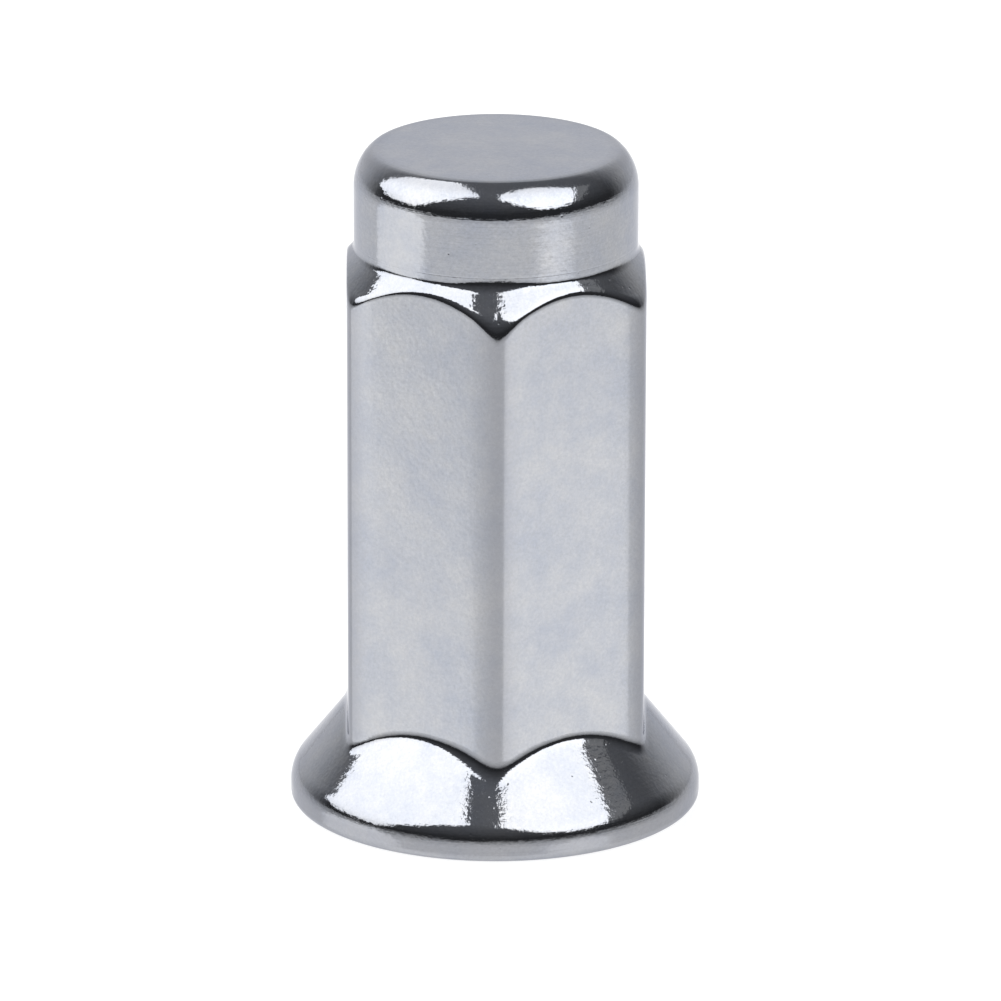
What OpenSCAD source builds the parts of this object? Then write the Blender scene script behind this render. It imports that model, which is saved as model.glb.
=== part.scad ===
// Closed-end flanged lug nut, one solid piece, for a 19 mm wrench and an M12 x 1.5 stud.
// +Z runs along the thread axis, from the flat seat at z = 0 to the closed cap.
// A corner of the hexagon points along -Y, so two flats face the X axis.

/* [Hexagon] */
// Distance across the flats, the wrench size
across_flats = 19; // [18.5:0.1:22]
// Radius of the rounded upright corners
hex_corner_r = 1.9; // [0.5:0.1:3]
// Height of the shoulder's upper edge above the seat
shoulder_h = 36.9; // [33:0.1:45]
// Slope of the shoulder cone, measured from the level
shoulder_slope = 53; // [35:1:65]

/* [Cap] */
// Diameter of the round cap
cap_d = 18.1; // [14:0.1:18.4]
// Height of the cap above the shoulder
cap_h = 6.6; // [4:0.1:12]
// Radius of the cap's rounded top edge
cap_edge_r = 2; // [0.5:0.1:3.5]
// Radius of the small fillet between the cap and the shoulder
cap_root_r = 0.4; // [0.2:0.1:1]

/* [Flange] */
// Diameter of the flange at its widest
flange_d = 26.6; // [25.6:0.1:32]
// Height of the widest ring above the seat
flange_rim_h = 0.7; // [0.7:0.1:2]
// Radius of the round where the cone turns into the rim
flange_edge_r = 3; // [1:0.1:4]
// Radius of the small round between the rim and the seat
flange_foot_r = 0.6; // [0.2:0.1:0.6]
// Slope of the flange cone, measured from the level
flange_slope = 51; // [30:1:58]

/* [Thread] */
// Nominal thread diameter of the stud
thread_d = 12; // [10:0.5:14]
// Thread pitch
thread_pitch = 1.5; // [1:0.25:2]
// Depth of the hole's straight wall above the seat, without the drill point
hole_depth = 30; // [12:0.5:32]
// How much wider than the thread the lead-in countersink is at the seat
lead_in_extra_d = 1; // [0.4:0.1:3]
// Full angle of the lead-in countersink
lead_in_angle = 90; // [60:5:120]
// Full angle of the drill point at the closed end
drill_angle = 118; // [90:1:150]

/* [Hidden] */

$fn = 96;
// How far joined or cut shapes run into each other, where it doesn't show
overlap = 0.5;

flat_r = across_flats / 2;
// The corner rounds are centred where a circle of hex_corner_r touches two neighbouring flats
corner_centre = (flat_r - hex_corner_r) / cos(30);
flat_w = 2 * corner_centre * sin(30);
// The corner discs stand this far out of the flats, so that each is cut off by them cleanly
disc_proud = 0.005;
corner_reach = corner_centre + hex_corner_r + disc_proud;

cap_r = cap_d / 2;
nut_h = shoulder_h + cap_h;
// The root fillet is centred one radius from the cap's wall and one radius from the shoulder
root_x = cap_r + cap_root_r;
root_z = shoulder_h + cap_root_r * (1 / cos(shoulder_slope) - tan(shoulder_slope));

flange_r = flange_d / 2;
flange_edge_x = flange_r - flange_edge_r;
// The cone leaves the edge round where the two share a tangent
cone_foot_x = flange_edge_x + flange_edge_r * sin(flange_slope);
cone_foot_z = flange_rim_h + flange_edge_r * cos(flange_slope);
// The cone runs on inside the hexagon, where it is out of sight
cone_top_x = flat_r - overlap;
cone_top_z = cone_foot_z + (cone_foot_x - cone_top_x) * tan(flange_slope);

// The hole has the size of the drill that goes before the tap, the thread's size less one pitch
hole_r = (thread_d - thread_pitch) / 2;
drill_point_h = hole_r / tan(drill_angle / 2);
lead_in_r = (thread_d + lead_in_extra_d) / 2;
lead_in_h = (lead_in_r - hole_r) / tan(lead_in_angle / 2);

// Six-sided outline with round corners: bars across opposite flats and a disc at each corner,
// trimmed by the hexagon that the flats would make if they met at sharp corners
module hexagon_outline() {
    intersection() {
        rotate(30) circle(r = flat_r / cos(30), $fn = 6);
        union() {
            for (side = [0:2])
                rotate(60 * side) square([across_flats + overlap, flat_w], center = true);
            for (corner = [0:5])
                rotate(60 * corner + 30) translate([corner_centre, 0]) circle(r = hex_corner_r + disc_proud);
        }
    }
}

// Turned envelope that cuts the sloping shoulder on the top of the hexagon
module shoulder_envelope() {
    reach = corner_reach + overlap;
    rotate_extrude()
        polygon([
            [0, 0],
            [reach, 0],
            [reach, shoulder_h - (reach - cap_r) * tan(shoulder_slope)],
            [cap_r, shoulder_h],
            [0, shoulder_h],
        ]);
}

module wrench_hexagon() {
    intersection() {
        linear_extrude(shoulder_h) hexagon_outline();
        shoulder_envelope();
    }
}

// Plain round cap with a rounded top edge
module cap() {
    rotate_extrude()
        union() {
            translate([0, shoulder_h - overlap]) square([cap_r, cap_h + overlap - cap_edge_r]);
            translate([0, shoulder_h - overlap]) square([cap_r - cap_edge_r, cap_h + overlap]);
            translate([cap_r - cap_edge_r, nut_h - cap_edge_r])
                intersection() {
                    circle(r = cap_edge_r);
                    square(cap_edge_r);
                }
        }
}

// Small fillet in the corner between the cap's wall and the sloping shoulder
module cap_root() {
    rotate_extrude()
        difference() {
            polygon([
                [cap_r - overlap, root_z],
                [cap_r, root_z],
                [root_x, root_z],
                [root_x - cap_root_r * sin(shoulder_slope), root_z - cap_root_r * cos(shoulder_slope)],
                [cap_r - overlap, shoulder_h - overlap],
            ]);
            translate([root_x, root_z]) circle(r = cap_root_r);
        }
}

// Conical flange with a rounded rim and a flat seat
module flange() {
    rotate_extrude()
        union() {
            polygon([
                [0, 0],
                [flange_r - flange_foot_r, 0],
                [flange_r, flange_foot_r],
                [flange_r, flange_rim_h],
                [cone_foot_x, cone_foot_z],
                [cone_top_x, cone_top_z],
                [0, cone_top_z],
            ]);
            translate([flange_edge_x, flange_rim_h])
                intersection() {
                    circle(r = flange_edge_r);
                    square(flange_edge_r);
                }
            translate([flange_r - flange_foot_r, flange_foot_r])
                intersection() {
                    circle(r = flange_foot_r);
                    translate([0, -flange_foot_r]) square(flange_foot_r);
                }
        }
}

// Blind hole for the stud, with a countersunk mouth and a drill point
module stud_hole() {
    translate([0, 0, -overlap]) cylinder(h = hole_depth + overlap, r = hole_r);
    translate([0, 0, hole_depth]) cylinder(h = drill_point_h, r1 = hole_r, r2 = 0);
    cylinder(h = lead_in_h, r1 = lead_in_r, r2 = hole_r);
}

module lug_nut() {
    color([0.78, 0.79, 0.82])
        difference() {
            union() {
                wrench_hexagon();
                cap();
                cap_root();
                flange();
            }
            stud_hole();
        }
}

lug_nut();
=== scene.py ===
# %% [markdown]
# A closed-end lug nut, dressed for a render.
#
# The nut is one forged piece: a tall hexagon for a 19 mm wrench, a round cap above a sloping
# shoulder, and a wide conical flange that presses on the wheel. It is plated with bright chrome,
# and a threaded blind hole runs up from the seat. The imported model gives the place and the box.
# This lesson builds a finer skin inside that box, plates it, and lights it as a plain product shot.
#
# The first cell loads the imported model, and measures it before anything is added.

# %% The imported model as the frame
import math

import bmesh
import bpy
import numpy as np
from mathutils import Matrix, Vector


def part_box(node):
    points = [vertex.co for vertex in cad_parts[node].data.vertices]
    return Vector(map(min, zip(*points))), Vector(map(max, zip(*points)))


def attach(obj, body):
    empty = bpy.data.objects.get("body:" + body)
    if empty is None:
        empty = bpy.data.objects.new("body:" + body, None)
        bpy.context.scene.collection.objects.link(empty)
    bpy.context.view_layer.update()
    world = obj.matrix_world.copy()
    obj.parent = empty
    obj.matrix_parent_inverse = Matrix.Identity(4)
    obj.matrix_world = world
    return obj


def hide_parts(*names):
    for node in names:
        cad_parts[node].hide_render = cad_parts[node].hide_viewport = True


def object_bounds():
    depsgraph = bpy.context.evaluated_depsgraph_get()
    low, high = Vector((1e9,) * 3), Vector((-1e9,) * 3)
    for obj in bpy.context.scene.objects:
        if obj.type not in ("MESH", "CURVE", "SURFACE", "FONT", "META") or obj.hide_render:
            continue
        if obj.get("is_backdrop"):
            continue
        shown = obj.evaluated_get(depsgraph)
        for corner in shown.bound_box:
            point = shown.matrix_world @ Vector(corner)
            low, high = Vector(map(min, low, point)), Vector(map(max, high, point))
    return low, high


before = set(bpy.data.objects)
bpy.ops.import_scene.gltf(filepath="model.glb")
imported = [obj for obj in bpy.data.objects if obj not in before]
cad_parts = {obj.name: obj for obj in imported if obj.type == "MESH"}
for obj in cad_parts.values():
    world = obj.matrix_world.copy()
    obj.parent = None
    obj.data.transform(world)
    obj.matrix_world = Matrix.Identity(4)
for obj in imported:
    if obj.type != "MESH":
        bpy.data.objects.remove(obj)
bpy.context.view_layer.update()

mm = 0.001              # the scene is in metres
inset = 0.1             # how far the skin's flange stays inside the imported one, in millimetres
nut_low, nut_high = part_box("lug_nut")
height = (nut_high.z - nut_low.z) / mm
flange_r = (nut_high.x - nut_low.x) / 2 / mm - inset
print(f"the nut is {height:.1f} mm tall and {2 * flange_r:.1f} mm across its flange")

# %% [markdown]
# The sizes of the forging, in millimetres and degrees. Everything stands on the seat at height 0,
# and +Z is the thread's axis. A workshop would read these numbers off the drawing of the nut. Slopes
# are counted from the level. The height and the flange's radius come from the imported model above, so
# the skin can't grow out of it.

# %% Sizes of the nut
flat_r = 9.5            # half of the 19 mm wrench size
corner_r = 1.9          # round of the six upright corners

rim_h = 1.05            # top of the flange's upright rim
rim_edge_r = 2.4        # round between the rim and the cone
foot_r = 0.5            # round between the rim and the seat
cone_slope = 51.5
cone_root_r = 1.4       # fillet where the hexagon grows out of the flange
corner_root_more = 1.0  # how much larger that fillet is at the front corner

shoulder_h = 36.9       # where the shoulder cone would meet the cap's wall
shoulder_slope = 54.0
shoulder_skew = 0.25    # how much higher the shoulder sits on its left side
flat_blend = 1.2        # round between the middle of a flat and the shoulder
corner_blend = 3.6      # the same round at the front corner
flat_root_r = 0.7       # fillet between the shoulder and the cap, above a flat
corner_root_r = 1.7     # the same fillet above the front corner

cap_r = 9.05
cap_arcs = ((3.2, 32), (2.4, 20), (0.8, 38))    # the cap's edge: radius, then bend in degrees
crown = 0.05            # the cap's top is very slightly domed
level_band = 0.5        # width of the level band round that dome
tool_ring_z = 37.48     # a faint ring that the lathe tool left above the foot of the cap

countersink_r = 6.5
hole_r = 5.25           # the tapping drill's radius, which is also the thread's crest
thread_r = 6.0          # an M12 thread's groove
pitch = 1.5
thread_end = 28.4
hole_depth = 30.0
drill_half_angle = 59.0
print(f"the shoulder's edge is rounded by {flat_blend} to {corner_blend} mm")

# %% [markdown]
# The camera stands a little above the nut and far away, behind a long lens, so the upright sides
# stay nearly parallel. It looks almost straight at one corner of the hexagon. A camera in Blender
# looks along its own -Z, so its three axes are worked out as vectors and put into one matrix.
# The order is: the view's right side, its upper side, the direction back to the camera.

# %% The camera
camera_turn = math.radians(-0.72)
camera_rise = math.radians(18.27)
camera_roll = math.radians(0.12)
camera_distance = 600 * mm
look_at = Vector((0.318, -0.004, 19.884)) * mm

level_back = Vector((math.sin(camera_turn), -math.cos(camera_turn), 0))
level_right = Vector((math.cos(camera_turn), math.sin(camera_turn), 0))
back = level_back * math.cos(camera_rise) + Vector((0, 0, math.sin(camera_rise)))
right = level_right * math.cos(camera_roll) + back.cross(level_right) * math.sin(camera_roll)
up = back.cross(right)

lens = bpy.data.cameras.new("long_lens")
lens.sensor_width = 36
lens.lens = 336.8
lens.clip_start, lens.clip_end = 0.01, 20
camera = bpy.data.objects.new("camera", lens)
axes = Matrix((right, up, back)).transposed().to_4x4()
camera.matrix_world = Matrix.Translation(look_at + back * camera_distance) @ axes
bpy.context.collection.objects.link(camera)
bpy.context.scene.camera = camera
print(f"the lens is {lens.lens:.1f} mm, {camera_distance} m away")

# %% [markdown]
# The skin is a grid wrapped round the axis. Each column of the grid is one direction round the nut,
# and each row is one station on the way from the seat over the rim, up the side and to the middle
# of the cap. A hexagon made of such columns needs many of them in its tight corners, and few on its
# flats, so the columns crowd together at each corner and a little way out from it.

# %% Columns round the axis, crowded at the six corners
sector = math.radians(60)
half_sector = sector / 2
crowd_width = 1.75      # how far the crowd reaches, counted in half widths of the corner's round
corner_columns, flat_columns = 35, 21

corner_centre = (flat_r - corner_r) / math.cos(half_sector)
corner_half = math.atan2(corner_r * math.sin(half_sector), corner_centre + corner_r * math.cos(half_sector))
crowded = corner_half * crowd_width
in_corner = np.linspace(-crowded, crowded, corner_columns)
on_flat = np.linspace(crowded, sector - crowded, flat_columns + 2)[1:-1]
turns = np.concatenate([np.concatenate([in_corner, on_flat]) + sector * k for k in range(6)])
azimuths = turns - math.pi / 2      # the first corner points along -Y
columns = len(azimuths)
print(f"{columns} columns, {math.degrees(in_corner[1] - in_corner[0]):.2f} degrees apart in a corner")

# %% [markdown]
# The corners were polished before plating, so their rounds have no sharp start and flow out into
# the flats. Each flat by itself would put the surface at flat_r divided by a cosine. Both cosines
# raised to a high power and added up give one smooth line through the corner. The higher the power,
# the harder the corner, and the one used here leaves it as far out as a plain round of corner_r.

# %% The polished hexagon
sharp_reach = flat_r / math.cos(half_sector)
hardness = math.log(2) / math.log(sharp_reach / (corner_centre + corner_r))


def from_corner(turn):
    """Angle from the nearest corner, never negative."""
    return abs((turn + half_sector) % sector - half_sector)


def hexagon_radius(turn):
    """Distance from the axis to the hexagon, for an angle counted from the front corner."""
    off = from_corner(turn)
    this_flat, next_flat = math.cos(half_sector - off), math.cos(half_sector + off)
    return flat_r / (this_flat**hardness + next_flat**hardness) ** (1 / hardness)


print(f"{2 * hexagon_radius(0):.2f} mm across the corners, {2 * sharp_reach:.2f} mm if they were sharp")

# %% [markdown]
# Each column is a drawing of the nut's side, made of straight lines and arcs that touch. One helper
# walks along such a drawing: it takes the corner points with a radius for each, and rounds every
# corner with an arc. It also sets a guard station just before and after each arc. Those keep the
# shading of the long faces even, as the plating on the real nut mirrors a flat face as flat.

# %% Helpers that round the corners of a drawing
def rounded(points, radii, steps, guard_gap=0.03):
    """Stations along a path of (r, z) points, whose inner corners are rounded by arcs."""
    stations, last_end = [np.array(points[0], float)], np.array(points[0], float)
    for before, at, after, radius, count in zip(points, points[1:], points[2:], radii, steps):
        before, at, after = (np.array(p, float) for p in (before, at, after))
        way_in, way_out = at - before, after - at
        way_in, way_out = way_in / np.linalg.norm(way_in), way_out / np.linalg.norm(way_out)
        bend = math.acos(np.clip(way_in @ way_out, -1, 1))
        reach = radius * math.tan(bend / 2)
        start, end = at - way_in * reach, at + way_out * reach
        centre_way = way_out - way_in
        centre = at + centre_way / np.linalg.norm(centre_way) * radius / math.cos(bend / 2)
        # Where two arcs touch, there is no straight between them and the guards fall on its end
        guard = min(guard_gap, np.linalg.norm(start - last_end) / 3)
        stations += [last_end + way_in * guard, start - way_in * guard]
        for k in range(count + 1):
            done = bend * k / count
            from_start, from_end = math.sin(bend - done) / math.sin(bend), math.sin(done) / math.sin(bend)
            stations.append(centre + (start - centre) * from_start + (end - centre) * from_end)
        last_end = end
    return stations + [last_end + way_out * guard_gap, np.array(points[-1], float)]


def one_step(heading):
    """A step of length 1 in this direction, in degrees."""
    return np.array([math.cos(math.radians(heading)), math.sin(math.radians(heading))])


def arc_run(arcs, heading):
    """Corner points of arcs that flow into each other, from (0, 0), and where they end."""
    at, corners = np.zeros(2), []
    for radius, bend in arcs:
        reach = radius * math.tan(math.radians(bend) / 2)
        corners.append(at + reach * one_step(heading))
        heading += bend
        at = corners[-1] + reach * one_step(heading)
    return corners, at


cap_corners, cap_end = arc_run(cap_arcs, heading=90)
cap_start = height - crown - cap_end[1]
top_r = cap_r + cap_end[0]
print(f"the cap's edge is {-cap_end[0]:.2f} mm wide and {cap_end[1]:.2f} mm tall")

# %% [markdown]
# A forging is never equally crisp all round. Its front corner came out softer than the others, at
# the foot, at the shoulder and under the cap. One helper says how soft a column is: most at
# the middle of a corner, and fading to nothing on both sides of it.

# %% Softer corners
other_corners = 0.4     # how soft the other five corners are, as a share of the front one
fade = 1.5              # the higher, the quicker the softness fades beside the corner


def softness(turn, width, power):
    """1 at the front corner, less at the others, and 0 from width degrees beside them."""
    share = max(0, 1 - (from_corner(turn) / math.radians(width)) ** power) ** fade
    return share if math.cos(turn) > math.cos(half_sector) else other_corners * share


print("softness 5 degrees beside the front corner:", round(softness(math.radians(5), 20, 2), 2))

# %% [markdown]
# Now the drawing of one column. The flange's cone climbs until it meets the hexagon, so it stops
# lower at a corner, where the hexagon reaches further out. The same happens at the shoulder: its
# cone cuts low across the corners and high across the flats, which gives the scalloped edge of
# every machined hexagon. Nothing needs a boolean cut, as each column knows how far out the hexagon
# is and ends its own lines there. On its left side, the shoulder is also higher and a bit crisper.

# %% The drawing of one column
seat_ring = 0.7         # width of the seat's first ring, round the countersink
crisper_edge, crisper_root = 0.6, 0.4    # by what share the left side's rounds are smaller
steps = [6, 12, 8, 12, 8, 16, 12, 10]    # stations on each arc, from the seat to the cap's top

cone_rise = math.tan(math.radians(cone_slope))
shoulder_fall = math.tan(math.radians(shoulder_slope))
# Where the rim's round passes into the cone
cone_foot_r = flange_r - rim_edge_r + rim_edge_r * math.sin(math.radians(cone_slope))
cone_foot_z = rim_h + rim_edge_r * math.cos(math.radians(cone_slope))
# The corner that the rim's wall and the cone would make without their round
rim_top = cone_foot_z - (flange_r - cone_foot_r) * cone_rise


def side(turn):
    """Stations (r, z) from the seat to the rim of the cap's top, for one column."""
    reach = hexagon_radius(turn)
    leftness = max(0, -math.sin(turn)) ** 3
    cone_top = cone_foot_z + (cone_foot_r - reach) * cone_rise
    shoulder_low = shoulder_h - (reach - cap_r) * shoulder_fall + shoulder_skew * leftness
    path = [(countersink_r + seat_ring, 0), (flange_r, 0), (flange_r, rim_top), (reach, cone_top)]
    path += [(reach, shoulder_low), (cap_r, shoulder_h)]
    path += [(cap_r + x, cap_start + z) for x, z in cap_corners]
    path.append((top_r - level_band, height - crown))

    foot = cone_root_r + corner_root_more * softness(turn, 24, 2)
    blend = flat_blend * (1 - crisper_edge * leftness) + (corner_blend - flat_blend) * softness(turn, 10, 1)
    root = flat_root_r * (1 - crisper_root * leftness) + (corner_root_r - flat_root_r) * softness(turn, 20, 2)
    radii = [foot_r, rim_edge_r, foot, blend, root] + [radius for radius, bend in cap_arcs]
    return rounded(path, radii, steps)


outer = np.array([side(turn) for turn in turns])
print(f"{outer.shape[1]} stations on each column, up to {outer[..., 1].max():.2f} mm")

# %% [markdown]
# The top of the cap is closed by rings that shrink to its middle with a slight crown. A pressed or
# turned cap is never dead flat, and the crown gives its mirror image a gentle bend. It starts level
# at its rim and ends level in the middle, because a crease would show in the plating as a ring.

# %% Rings across the cap's top
crowned = []
for share in [0.96, 0.88, 0.78, 0.68, 0.58, 0.48, 0.38, 0.28, 0.18, 0.09]:
    ring = np.empty((columns, 2))
    ring[:, 0] = (top_r - level_band) * share
    ring[:, 1] = height - crown + crown * (1 - share**2) ** 2
    crowned.append(ring)
grid = np.concatenate([outer, np.stack(crowned, axis=1)], axis=1)
print(f"{grid.shape[1]} rows in all")

# %% [markdown]
# The thread is cut by a tap, a right-handed M12 with 1.5 mm between turns. Its rows run along the
# helix: they climb by one pitch in one turn, and the last column joins the first one a whole pitch
# higher. Where a row would leave the threaded length it is held at the end, so the thread
# starts and stops in plain rings. The countersink widens the mouth, and the grooves run out
# near the top, where the tap's tapered tip was.

# %% The form of the thread
run_out_length = 1.5 * pitch
groove = thread_r - hole_r
flank = groove * math.tan(math.radians(30))
crest_w = pitch / 4
nick = 0.035            # the small round on the thread's edges
form = [                # (height along one pitch, depth of the groove)
    (0.0, nick),
    (nick, 0.0),
    (crest_w / 2, 0.0),
    (crest_w - nick, 0.0),
    (crest_w, nick),
    (crest_w + flank / 2, groove / 2),
    (crest_w + flank - nick, groove - nick * 1.5),
    (crest_w + flank + nick, groove),
    (pitch - flank - nick, groove),
    (pitch - flank + nick, groove - nick * 1.5),
    (pitch - flank / 2, groove / 2),
]
per_pitch = len(form)
thread_rows = per_pitch * (math.ceil(thread_end / pitch) + 2)
inner_azimuths, inner_turns = azimuths[::2], turns[::2]
inner_columns = len(inner_azimuths)


def bore(row, column):
    """(r, z) of one grid point of the threaded wall, and which end it is held at, if any."""
    along, depth = form[row % per_pitch]
    climbed = pitch * (inner_turns[column] - inner_turns[0]) / (2 * math.pi)
    z = (row // per_pitch - 1) * pitch + along + climbed
    if z <= 0:
        return countersink_r, 0.0, "mouth"
    if z >= thread_end:
        return hole_r, thread_end, "end"
    run_out = min(1.0, (thread_end - z) / run_out_length)
    return max(hole_r + depth * run_out, countersink_r - z), z, "wall"


print(f"{per_pitch} rows for each turn of the thread, and grooves {groove:.2f} mm deep")

# %% [markdown]
# The grid becomes one closed mesh. Two numbers are kept for each point, for the finish later. One
# tells how far it lies on a turned face rather than on a polished one, where the tool's lines and
# ripples are faint. The other marks the parts that stand out: the six corners, the rim and the edge
# of the cap. The plate is rougher there from rubbing, and its colour is darker there as painted shade.

# %% What the finish needs to know about a point
turned_from = 0.25      # millimetres off the hexagon, from where a face counts as fully turned
top_turned = 0.15       # the cap's top is polished almost as smooth as the flats
top_from_z = height - 0.1
rim_from_r, rim_rub_shade_z, rim_rub_shade_w = cap_r + 3, 0.9, 1.1          # where the rim's band of rubbing and painted shade lies
cap_from_r, cap_rub_shade_z, cap_rub_shade_w = top_r - 0.4, height - 0.4, 0.35    # and the band on the cap's edge


def bell(distance, width):
    """1 at no distance, and close to 0 from twice the width on."""
    return math.exp(-((distance / width) ** 2))


def turning_rub_and_shade(turn, r, z):
    """How turned a point is, and how much it is rubbed and later darkened as painted shade, both from 0 to 1.
    """
    off_flat = min(1.0, abs(r - hexagon_radius(turn)) / turned_from)
    # These bands make the plate rougher, and later darken its colour as painted shade
    corner = bell(from_corner(turn), corner_half) * (1 - off_flat)
    rim = bell(z - rim_rub_shade_z, rim_rub_shade_w) if r > rim_from_r else 0.0
    cap_edge = bell(z - cap_rub_shade_z, cap_rub_shade_w) if r > cap_from_r else 0.0
    return off_flat if z < top_from_z else top_turned, max(corner, rim, cap_edge)


print("turned and rubbed, at the rim:", turning_rub_and_shade(0, flange_r, rim_rub_shade_z))

# %% [markdown]
# Rows of the outside are joined by quads, and the last ring closes in a fan of triangles. Points
# and faces are collected in plain lists first, with the two numbers beside them.

# %% Points and faces of the outside
verts, faces, in_hole, turned, rubbed_and_shaded = [], [], [], [], []


def add_vertex(r, z, azimuth, off_flat=0.0, rub_and_shade=0.0):
    verts.append((r * math.cos(azimuth) * mm, r * math.sin(azimuth) * mm, z * mm))
    turned.append(off_flat)
    rubbed_and_shaded.append(rub_and_shade)
    return len(verts) - 1


def add_face(corners, hole=False):
    """Adds a face, leaving out corners that fall together."""
    kept = [c for i, c in enumerate(corners) if c != corners[i - 1]]
    if len(set(kept)) == len(kept) >= 3:
        faces.append(kept)
        in_hole.append(hole)


shell = []
for row in range(grid.shape[1]):
    points = zip(grid[:, row], azimuths, turns)
    shell.append([add_vertex(r, z, azimuth, *turning_rub_and_shade(turn, r, z)) for (r, z), azimuth, turn in points])
for low, high in zip(shell, shell[1:]):
    for c in range(columns):
        d = (c + 1) % columns
        add_face((low[c], low[d], high[d], high[c]))
summit = add_vertex(0, height, 0, top_turned)
for c in range(columns):
    add_face((shell[-1][c], shell[-1][(c + 1) % columns], summit))
print(f"{len(faces)} faces outside")

# %% [markdown]
# The hole has half as many columns, which is plenty for a round wall. So the seat's first
# ring joins every second column outside to one inside. The threaded wall follows, whose last column
# joins the first a pitch higher up. The drill's straight end and its point close the hole.

# %% The seat's inner ring and the threaded wall
mouth = [add_vertex(countersink_r, 0, a, 1.0) for a in inner_azimuths]
end_ring = [add_vertex(hole_r, thread_end, a) for a in inner_azimuths]
for c in range(inner_columns):
    d, wide = (c + 1) % inner_columns, 2 * c
    first, middle, last = shell[0][wide], shell[0][(wide + 1) % columns], shell[0][(wide + 2) % columns]
    add_face((mouth[c], middle, first))
    add_face((mouth[c], mouth[d], middle))
    add_face((mouth[d], last, middle))

wall = {}
for row in range(thread_rows + 1):
    for c in range(inner_columns):
        r, z, held = bore(row, c)
        if held == "wall":
            wall[row, c] = add_vertex(r, z, inner_azimuths[c])
        else:
            wall[row, c] = mouth[c] if held == "mouth" else end_ring[c]
for row in range(thread_rows):
    for c in range(inner_columns):
        d, climb = (c + 1, 0) if c + 1 < inner_columns else (0, per_pitch)
        low_d = wall.get((row + climb, d), end_ring[d])
        high_d = wall.get((row + 1 + climb, d), end_ring[d])
        add_face((wall[row, c], wall[row + 1, c], high_d, low_d), hole=True)
print(f"{sum(in_hole)} faces in the thread")

# %% [markdown]
# The drill went deeper than the tap, and left a plain wall with a blunt point. A guard ring stands
# on each side of the edge between them, which keeps that edge crisp.

# %% The drilled end
point_h = hole_r / math.tan(math.radians(drill_half_angle))
guard_below = 0.05      # millimetres
guard_inward, halfway = 0.02, 0.5    # shares of the way from the edge to the tip
rings = [end_ring]
for z in (hole_depth - guard_below, hole_depth):
    rings.append([add_vertex(hole_r, z, a) for a in inner_azimuths])
for inward in (guard_inward, halfway):
    r, z = hole_r * (1 - inward), hole_depth + point_h * inward
    rings.append([add_vertex(r, z, a) for a in inner_azimuths])
for low, high in zip(rings, rings[1:]):
    for c in range(inner_columns):
        d = (c + 1) % inner_columns
        add_face((low[c], high[c], high[d], low[d]), hole=True)
tip = add_vertex(0, hole_depth + point_h, 0)
for c in range(inner_columns):
    add_face((rings[-1][c], tip, rings[-1][(c + 1) % inner_columns]), hole=True)
print(f"the drill's point is {point_h:.2f} mm tall")

# %% [markdown]
# The mesh is made from those lists, and points that fall on one place are merged. A solid has no
# open edge, so the count of edges without exactly two faces must come out as 0.

# %% One closed mesh
merge_distance = 0.0002 * mm
skin = bpy.data.meshes.new("plated_nut")
skin.from_pydata(verts, [], faces)
skin.polygons.foreach_set("material_index", [int(hole) for hole in in_hole])
for name, values in (("turned", turned), ("rubbed_and_shaded", rubbed_and_shaded)):
    skin.attributes.new(name, "FLOAT", "POINT").data.foreach_set("value", values)
shape = bmesh.new()
shape.from_mesh(skin)
bmesh.ops.remove_doubles(shape, verts=shape.verts, dist=merge_distance)
open_edges = sum(len(edge.link_faces) != 2 for edge in shape.edges)
inside_out = shape.calc_volume(signed=True) < 0
shape.to_mesh(skin)
shape.free()
skin.shade_smooth()
nut = bpy.data.objects.new("plated_nut", skin)
bpy.context.collection.objects.link(nut)
print(f"{len(skin.vertices)} points, {sum(len(p.vertices) - 2 for p in skin.polygons)} triangles")
print(f"{open_edges} open edges, inside out: {inside_out}")

# %% [markdown]
# Chrome plate is a thousandth of a millimetre of chromium over nickel on the forged steel.
# Chromium is a bluish grey metal that gives back about half of the light, so a white floor shows
# in it as a light grey and a dark room as near black. It is the shape that tells what is chrome:
# flats mirror one tone each, and every round squeezes the whole room into a thin stripe.
# Colours are written as sRGB hex, which one helper turns into the linear numbers that shaders use.
# Another adds a node, sets it and links it, so that a material reads as a recipe.

# %% Colours and nodes
def linear(hex_colour):
    """An sRGB hex colour as the linear numbers that shaders use."""
    channels = [int(hex_colour[i : i + 2], 16) / 255 for i in (1, 3, 5)]
    return [c / 12.92 if c <= 0.04045 else ((c + 0.055) / 1.055) ** 2.4 for c in channels] + [1.0]


def new_material(name):
    material = bpy.data.materials.new(name)
    material.use_nodes = True
    material.node_tree.nodes.clear()
    return material


def add_node(owner, kind, settings=None, **links):
    """Adds a node with its settings and links.

    A link's value is an output, a node whose first output is meant, or a plain number.
    """
    node = owner.node_tree.nodes.new(kind)
    for key, value in (settings or {}).items():
        setattr(node, key, value)
    for key, value in links.items():
        is_index = key[0] == "i" and key[1:].isdigit()
        socket = node.inputs[int(key[1:])] if is_index else node.inputs[key.replace("_", " ")]
        if isinstance(value, bpy.types.Node):
            value = value.outputs[0]
        if isinstance(value, bpy.types.NodeSocket):
            owner.node_tree.links.new(value, socket)
        else:
            socket.default_value = value
    return node


print("mid grey as a linear number:", round(linear("#808080")[0], 3))

# %% [markdown]
# Patterns are made of noise, and each has the size of the real thing. A noise node counts its marks
# to the metre here, so one helper turns the width of a mark in millimetres into the node's scale.
# Where marks are drawn out into lines or hairs, a mapping node has one such scale for each axis.

# %% Marks of a real size
def per_size(size_mm):
    """The scale that gives a pattern marks of about this size, as the nut is in metres."""
    return 1 / (size_mm * mm)


print(f"marks of 4 mm need a scale of {per_size(4):.0f}")
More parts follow.
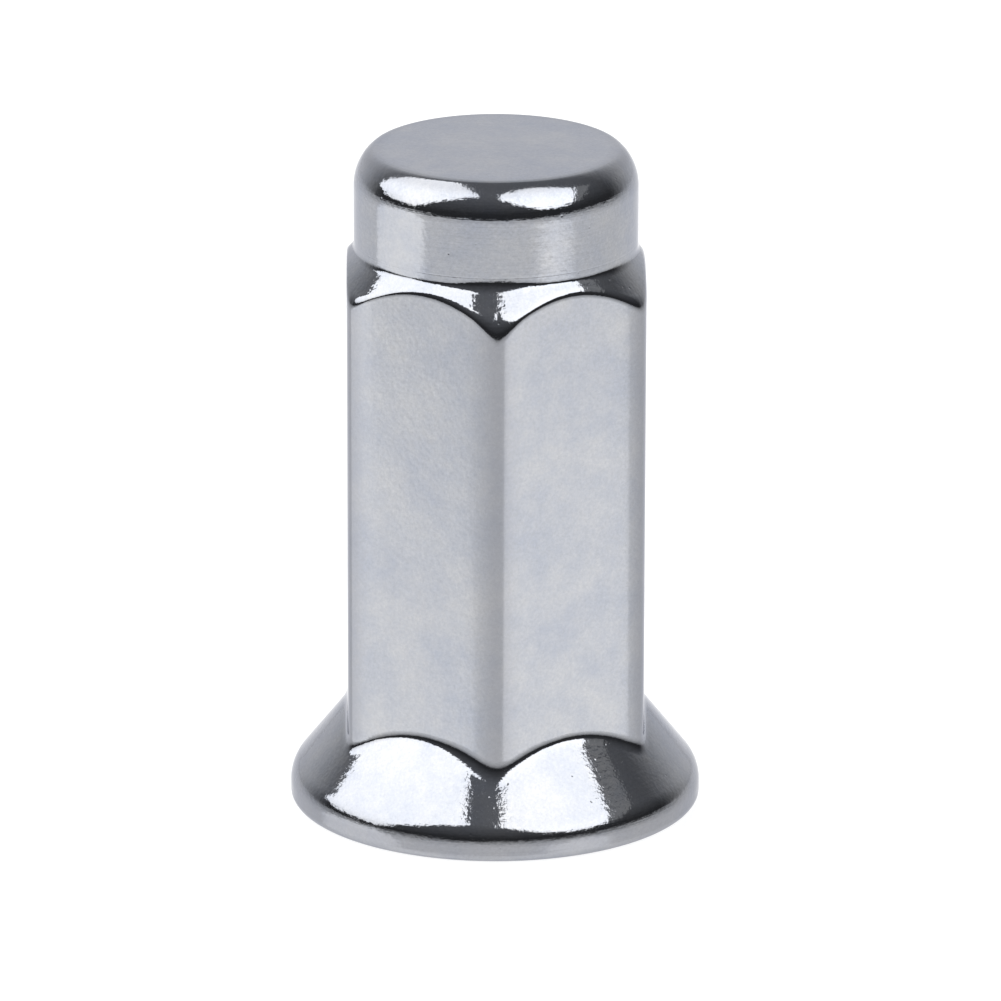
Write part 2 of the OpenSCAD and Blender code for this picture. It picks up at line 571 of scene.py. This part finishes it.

# %% [markdown]
# Even new chrome isn't flawless, and what is wrong with it is what makes it look real. The bath
# leaves faint clouds a few millimetres wide, some bluer and some greyer, with a fine grain over
# them. On the corners, the rim and the cap's edge the colour is darker, which is painted shade.
# This is the colour part of the recipe. It gives the eye a light metal that is never quite one tone.

# %% Chrome: clouds in the colour
chrome = new_material("bright_chrome_plate")
spot = add_node(chrome, "ShaderNodeTexCoord").outputs["Object"]
off_flat = add_node(chrome, "ShaderNodeAttribute", {"attribute_name": "turned"}).outputs["Fac"]
rub_and_shade = add_node(chrome, "ShaderNodeAttribute", {"attribute_name": "rubbed_and_shaded"}).outputs["Fac"]

clouds = add_node(chrome, "ShaderNodeTexNoise", Vector=spot, Scale=per_size(4), Detail=6, Roughness=0.75)
greyer = add_node(chrome, "ShaderNodeMapRange", Value=clouds, From_Min=0.33, From_Max=0.67)
clouded = add_node(
    chrome, "ShaderNodeMix", {"data_type": "RGBA"},
    Factor=greyer, i6=linear("#a0a4ad"), i7=linear("#b0b1b4"),
)
grain = add_node(chrome, "ShaderNodeTexNoise", Vector=spot, Scale=per_size(0.2), Detail=3, Roughness=0.75)
grain_light = add_node(
    chrome, "ShaderNodeMapRange", Value=grain, From_Min=0.3, From_Max=0.7, To_Min=0.93, To_Max=1.07,
)
grained = add_node(
    chrome, "ShaderNodeVectorMath", {"operation": "SCALE"}, i0=clouded.outputs[2], Scale=grain_light,
)
# Painted shade: the corners, the rim and the cap's edge turn up to halfway to a darker grey
painted_shade_share = add_node(chrome, "ShaderNodeMath", {"operation": "MULTIPLY"}, i0=rub_and_shade, i1=0.5)
plate_colour = add_node(
    chrome, "ShaderNodeMix", {"data_type": "RGBA"}, Factor=painted_shade_share, i6=grained, i7=linear("#8b8c91"),
)
print("chrome: clouds of 4 mm between two greys, with a finer grain")

# %% [markdown]
# Nuts are plated and packed by the hundred in tumbling drums, which leaves a patchy haze and fine
# hairs. They hardly show by themselves, but they soften what the plate mirrors, here more and there
# less. A hair is where a smooth, long-drawn noise passes through its middle value.

# %% Chrome: haze and hairs in the roughness
haze = add_node(chrome, "ShaderNodeTexNoise", Vector=spot, Scale=per_size(1.1), Detail=6, Roughness=0.75)
hazy = add_node(
    chrome, "ShaderNodeMapRange", Value=haze, From_Min=0.42, From_Max=0.75, To_Min=0.04, To_Max=0.085,
)
hair_scale = (per_size(0.5), per_size(5), per_size(3))
hair_way = add_node(chrome, "ShaderNodeMapping", Vector=spot, Rotation=(0.5, 0.3, 0.4), Scale=hair_scale)
long_drawn = add_node(chrome, "ShaderNodeTexNoise", Vector=hair_way, Scale=1, Detail=1, Distortion=0.6)
past_middle = add_node(chrome, "ShaderNodeMath", {"operation": "SUBTRACT"}, i0=long_drawn, i1=0.5)
from_middle = add_node(chrome, "ShaderNodeMath", {"operation": "ABSOLUTE"}, i0=past_middle)
hair = add_node(chrome, "ShaderNodeMapRange", Value=from_middle, From_Max=0.012, To_Min=0.05, To_Max=0)
worn = add_node(chrome, "ShaderNodeMath", {"operation": "MULTIPLY_ADD"}, i0=rub_and_shade, i1=0.06, i2=hazy)
plate_roughness = add_node(chrome, "ShaderNodeMath", {"operation": "ADD"}, i0=hair, i1=worn)
print("chrome: haze in patches of 1.1 mm, hairs about 5 mm long")

# %% [markdown]
# Next comes the relief, a few thousandths of a millimetre deep. Ripples fray the edges of the
# bright shapes, and much less so on the polished flats. Faces that were turned on a lathe keep fine
# lines round the axis, which are long in x and y and fine in z. Real ones are 0.05 mm apart, and
# these are drawn three times as coarse, so that they show.

# %% Chrome: ripples and turning lines in the bump
ripples = add_node(chrome, "ShaderNodeTexNoise", Vector=spot, Scale=per_size(0.3), Detail=2)
ripple_share = add_node(chrome, "ShaderNodeMapRange", Value=off_flat, To_Min=0.3, To_Max=1)
ripple_relief = add_node(chrome, "ShaderNodeMath", {"operation": "MULTIPLY"}, i0=ripples, i1=ripple_share)
rippled = add_node(chrome, "ShaderNodeBump", Height=ripple_relief, Distance=0.0095 * mm, Strength=1)

line_scale = (per_size(5), per_size(5), per_size(0.15))
round_way = add_node(chrome, "ShaderNodeMapping", Vector=spot, Scale=line_scale)
lines = add_node(chrome, "ShaderNodeTexNoise", Vector=round_way, Scale=1, Detail=3, Roughness=0.6)
line_relief = add_node(chrome, "ShaderNodeMath", {"operation": "MULTIPLY"}, i0=lines, i1=off_flat)
print("chrome: ripples of 0.3 mm, turning lines 0.15 mm apart")

# %% [markdown]
# The tool left one deeper ring where it stopped above the foot of the cap. The plate also has a few
# pits of a tenth of a millimetre. Each relief is laid over the one before, and the last of them
# gives the plate its normal.

# %% Chrome: the tool's ring and pits in the bump
up_nut = add_node(chrome, "ShaderNodeSeparateXYZ", Vector=spot).outputs["Z"]
past_ring = add_node(chrome, "ShaderNodeMath", {"operation": "SUBTRACT"}, i0=up_nut, i1=tool_ring_z * mm)
beside_ring = add_node(chrome, "ShaderNodeMath", {"operation": "ABSOLUTE"}, i0=past_ring)
ring_relief = add_node(
    chrome, "ShaderNodeMapRange", {"interpolation_type": "SMOOTHSTEP"},
    Value=beside_ring, From_Max=0.06 * mm, To_Min=-0.7, To_Max=0,
)
tooled = add_node(chrome, "ShaderNodeMath", {"operation": "ADD"}, i0=line_relief, i1=ring_relief)
lined = add_node(chrome, "ShaderNodeBump", Height=tooled, Distance=0.005 * mm, Strength=1, Normal=rippled)

cells = add_node(chrome, "ShaderNodeTexVoronoi", Vector=spot, Scale=per_size(1.1))
in_pit = add_node(
    chrome, "ShaderNodeMapRange", {"interpolation_type": "SMOOTHSTEP"},
    Value=cells, From_Max=0.11, To_Min=-1, To_Max=0,
)
pit_relief = add_node(chrome, "ShaderNodeMath", {"operation": "MULTIPLY"}, i0=in_pit, i1=off_flat)
pitted = add_node(chrome, "ShaderNodeBump", Height=pit_relief, Distance=0.012 * mm, Strength=1, Normal=lined)

# The edge tint keeps the far edges of the rounds from washing out to white
plate = add_node(
    chrome, "ShaderNodeBsdfPrincipled", Base_Color=plate_colour.outputs[2], Metallic=1,
    Roughness=plate_roughness, Specular_Tint=linear("#dcdde2"), Normal=pitted,
)
add_node(chrome, "ShaderNodeOutputMaterial", Surface=plate)
print(f"chrome has {len(chrome.node_tree.nodes)} nodes")

# %% [markdown]
# The thread was cut after plating, so the hole is bare steel with a film of oil: warmer and
# darker than the plate, with fine tool lines that follow the thread and blur what it mirrors.

# %% Cut steel
steel = new_material("oiled_cut_steel")
inside = add_node(steel, "ShaderNodeTexCoord").outputs["Object"]
oil = add_node(steel, "ShaderNodeTexNoise", Vector=inside, Scale=per_size(2.5), Detail=4)
steel_colour = add_node(
    steel, "ShaderNodeMix", {"data_type": "RGBA"}, Factor=oil, i6=linear("#77736e"), i7=linear("#9c9994"),
)
steel_roughness = add_node(
    steel, "ShaderNodeMapRange", Value=oil, From_Min=0.3, From_Max=0.7, To_Min=0.26, To_Max=0.44,
)
tool_scale = (per_size(4), per_size(4), per_size(0.12))
tool_way = add_node(steel, "ShaderNodeMapping", Vector=inside, Scale=tool_scale)
tool_lines = add_node(steel, "ShaderNodeTexNoise", Vector=tool_way, Scale=1, Detail=4)
scored = add_node(steel, "ShaderNodeBump", Height=tool_lines, Distance=0.006 * mm, Strength=1)
bare_metal = add_node(
    steel, "ShaderNodeBsdfPrincipled", Base_Color=steel_colour.outputs[2], Metallic=1,
    Roughness=steel_roughness, Normal=scored,
)
add_node(steel, "ShaderNodeOutputMaterial", Surface=bare_metal)

skin.materials.append(chrome)
skin.materials.append(steel)
print("the hole's faces use the steel, all others the chrome")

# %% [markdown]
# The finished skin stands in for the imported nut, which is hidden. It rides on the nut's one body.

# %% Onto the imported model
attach(nut, "root")
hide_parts("lug_nut")
print("the skin replaces lug_nut")

# %% [markdown]
# The studio. The nut stands on a glossy white acrylic sheet, as is common for small products. The
# sheet is what the upright sides mirror, so it makes most of the nut's light grey. Being glossy it
# mirrors the two softboxes as well, and so the flats that face them turn lighter than the corner
# between them. Its white comes from its own colour and from light given only to what is
# seen straight, mirrored or through glass, and not from more light on the nut. At a low angle a
# glossy sheet mirrors more, and shows less of its own white.

# %% White acrylic
own_white = 0.96
acrylic_ior = 1.5
acrylic = new_material("white_acrylic_sheet")
ray = add_node(acrylic, "ShaderNodeLightPath").outputs
larger = {"operation": "MAXIMUM"}
seen = add_node(acrylic, "ShaderNodeMath", larger, i0=ray["Is Camera Ray"], i1=ray["Is Glossy Ray"])
seen = add_node(acrylic, "ShaderNodeMath", larger, i0=seen, i1=ray["Is Transmission Ray"])
mirrored = add_node(acrylic, "ShaderNodeFresnel", IOR=acrylic_ior)
not_mirrored = add_node(acrylic, "ShaderNodeMath", {"operation": "SUBTRACT"}, i0=1, i1=mirrored)
white = add_node(acrylic, "ShaderNodeMath", {"operation": "MULTIPLY"}, i0=not_mirrored, i1=own_white)
shown_white = add_node(acrylic, "ShaderNodeMath", {"operation": "MULTIPLY"}, i0=seen, i1=white)
sheet_gloss = add_node(
    acrylic, "ShaderNodeBsdfPrincipled", Base_Color=linear("#9a9a9a"), Roughness=0.13, IOR=acrylic_ior,
    Emission_Color=linear("#ffffff"), Emission_Strength=shown_white,
)
add_node(acrylic, "ShaderNodeOutputMaterial", Surface=sheet_gloss)
print(f"the sheet's own white has strength {own_white}")

# %% [markdown]
# The sheet is large, but it ends a little way in front of the nut. From there on the room is dark,
# and its mirror image draws the dark line under every bright shape. All pieces of the studio are
# level panels, so one helper makes them.

# %% Floor
floor_z = -0.01 * mm    # a hair below the seat, as two faces in one plane can't both be drawn
floor_side, floor_front, floor_back = 1.2, -0.4, 1.2


def panel(name, outline, z, material):
    """A level sheet of the studio at height z, with corners (x, y) in metres."""
    mesh = bpy.data.meshes.new(name)
    mesh.from_pydata([(x, y, z) for x, y in outline], [], [list(range(len(outline)))])
    mesh.materials.append(material)
    sheet = bpy.data.objects.new(name, mesh)
    bpy.context.collection.objects.link(sheet)
    sheet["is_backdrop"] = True


front_corners = [(-floor_side, floor_front), (floor_side, floor_front)]
back_corners = [(floor_side, floor_back), (-floor_side, floor_back)]
panel("floor", front_corners + back_corners, floor_z, acrylic)
print(f"the sheet ends {-floor_front} m in front of the nut, where the room is dark")

# %% [markdown]
# Two big softboxes hang level above, one to each side. Chrome shows their outlines, so their edges
# matter as much as their light: the dark gap between them draws the upright stripe down the
# middle of the flange and shoulder, and their near edges draw the tops of the bright shapes.
# Each is brightest near its lamp and falls off toward its rim, as real cloth does. The right
# softbox has a grey skirt along its outer side, which shows as a dim stripe. Outlines are written
# as seen from the nut: metres to the right and back for each metre of height.

# %% Softboxes
softbox_h = 0.7
left_outline = ((-0.285, -0.88), (-0.275, 0.18), (-0.85, 0.4), (-3.5, 1.48), (-7.0, 1.3), (-10.0, -3.8))
right_outline = (
    (0.33, -0.22), (0.03, -0.7), (0.05, -1.1), (0.38, -1.5), (0.95, -2.13),
    (2.0, -2.85), (3.3, -2.9), (3.05, -1.4), (1.07, -0.17),
)
skirt_outline = ((1.07, -0.17), (3.05, -1.4), (3.7, -1.2), (1.33, 0.16))


def softbox(name, outline, hot, edge, lamp, reach):
    """Cloth that shines with strength hot at the lamp's (x, y) and edge from reach metres on."""
    cloth = new_material(name + "_cloth")
    place = add_node(cloth, "ShaderNodeNewGeometry").outputs["Position"]
    away = add_node(cloth, "ShaderNodeVectorMath", {"operation": "DISTANCE"}, i0=place, i1=(*lamp, softbox_h))
    strength = add_node(
        cloth, "ShaderNodeMapRange", {"interpolation_type": "SMOOTHSTEP"},
        Value=away.outputs["Value"], From_Max=reach, To_Min=hot, To_Max=edge,
    )
    lit = add_node(cloth, "ShaderNodeEmission", Color=linear("#ffffff"), Strength=strength)
    add_node(cloth, "ShaderNodeOutputMaterial", Surface=lit)
    panel(name, [(x * softbox_h, y * softbox_h) for x, y in outline], softbox_h, cloth)


softbox("softbox_left", left_outline, hot=2.4, edge=1.8, lamp=(-1.0, -0.2), reach=4.5)
softbox("softbox_right", right_outline, hot=2.6, edge=2.1, lamp=(1.1, -1.2), reach=2.2)
softbox("softbox_skirt", skirt_outline, hot=0.34, edge=0.24, lamp=(0.75, -0.1), reach=2.0)
print(f"two softboxes at {softbox_h} m")

# %% [markdown]
# The room itself is dim in front, where the camera stands, with a slightly blue ceiling. Behind
# the nut a pale wall climbs to white, and the cap's flat top mirrors that wall. In the world's
# own coordinates Y tells how far back a direction points, and Z how high.

# %% The room
world = bpy.data.worlds.new("dim_room")
bpy.context.scene.world = world
world.use_nodes = True
world.node_tree.nodes.clear()
way = add_node(world, "ShaderNodeTexCoord").outputs["Generated"]
toward = add_node(world, "ShaderNodeSeparateXYZ", Vector=way).outputs
wall_light = add_node(
    world, "ShaderNodeMapRange", {"interpolation_type": "SMOOTHSTEP"},
    Value=toward["Y"], From_Min=0.22, From_Max=1.08, To_Min=0, To_Max=1.03,
)
ceiling_light = add_node(
    world, "ShaderNodeMapRange", Value=toward["Z"], From_Min=0.1, From_Max=0.85, To_Min=0.05, To_Max=0.26,
)
pale_wall = add_node(world, "ShaderNodeBackground", Color=linear("#ffffff"), Strength=wall_light)
ceiling = add_node(world, "ShaderNodeBackground", Color=linear("#eceef4"), Strength=ceiling_light)
room = add_node(world, "ShaderNodeAddShader", i0=pale_wall, i1=ceiling)
add_node(world, "ShaderNodeOutputWorld", Surface=room)
bpy.context.scene.view_settings.view_transform = "Standard"
print("a dim room with a pale wall behind")

# %% [markdown]
# Last, the box of the dressed nut is printed. The skin must not reach outside.

# %% Sizes, and the end
dressed_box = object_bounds()
for low, high in zip(*dressed_box):
    print(f"{low / mm:.3f} to {high / mm:.3f} mm")
